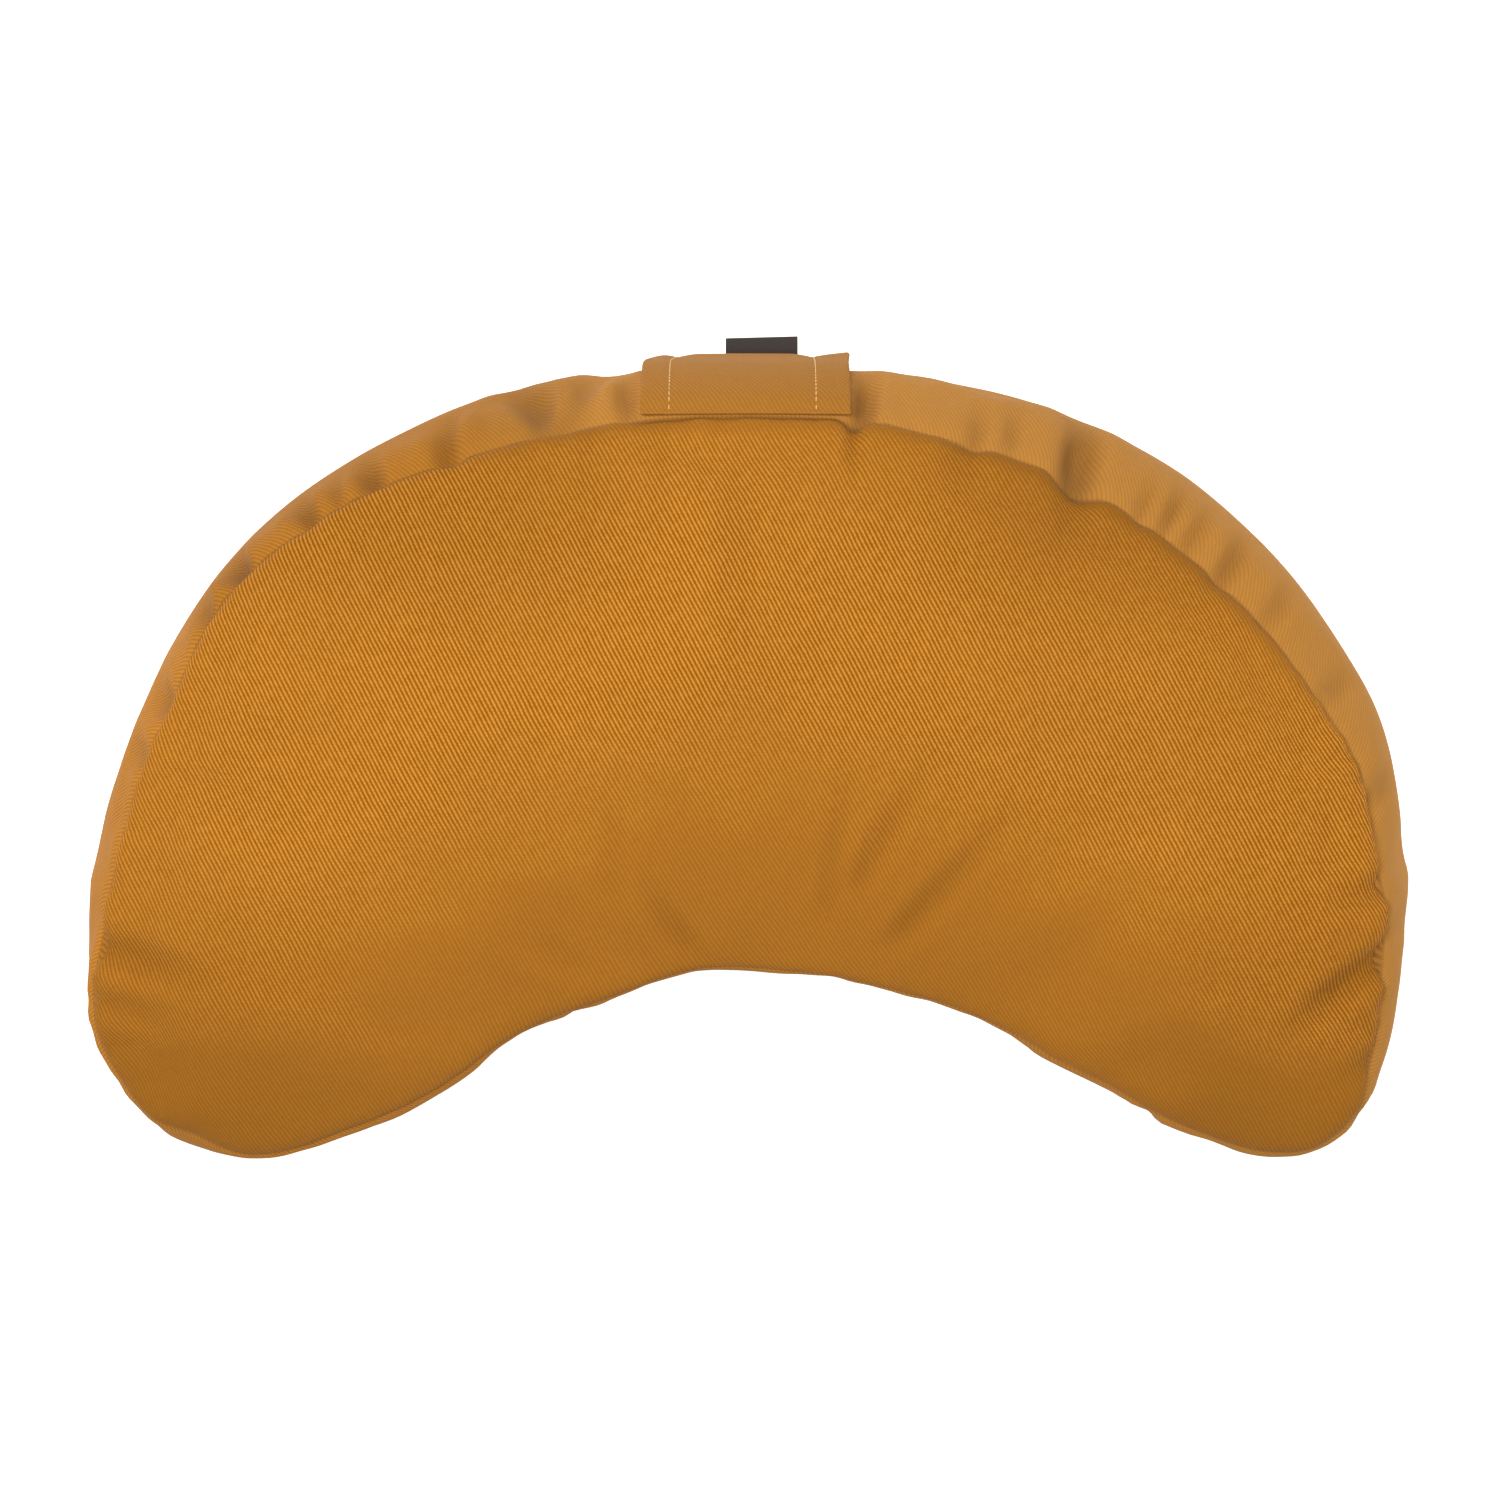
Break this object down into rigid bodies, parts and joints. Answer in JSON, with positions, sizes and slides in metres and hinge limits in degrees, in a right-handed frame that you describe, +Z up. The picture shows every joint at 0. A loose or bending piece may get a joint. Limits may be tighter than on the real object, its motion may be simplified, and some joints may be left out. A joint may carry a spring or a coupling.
{
  "type": "crescent meditation cushion",
  "caption": "Crescent-shaped floor cushion in ochre cotton twill with a sewn side band, a wide strap handle across its back and a small bare tab in the bottom seam.",
  "frame": {"origin": "centre of the footprint's box, on the surface that the cushion lies on", "axes": "+X along the crescent's length, +Y from the front bay to the convex back with the handle, +Z up"},
  "size_m": [0.4516, 0.2764, 0.1299],
  "materials": {
    "twill": "heavy matt ochre cotton twill",
    "tab_cloth": "plain dark grey woven tab"
  },
  "bodies": {
    "root": {"cushion": "twill", "handle": "twill", "label": "tab_cloth"}
  },
  "joints": []
}
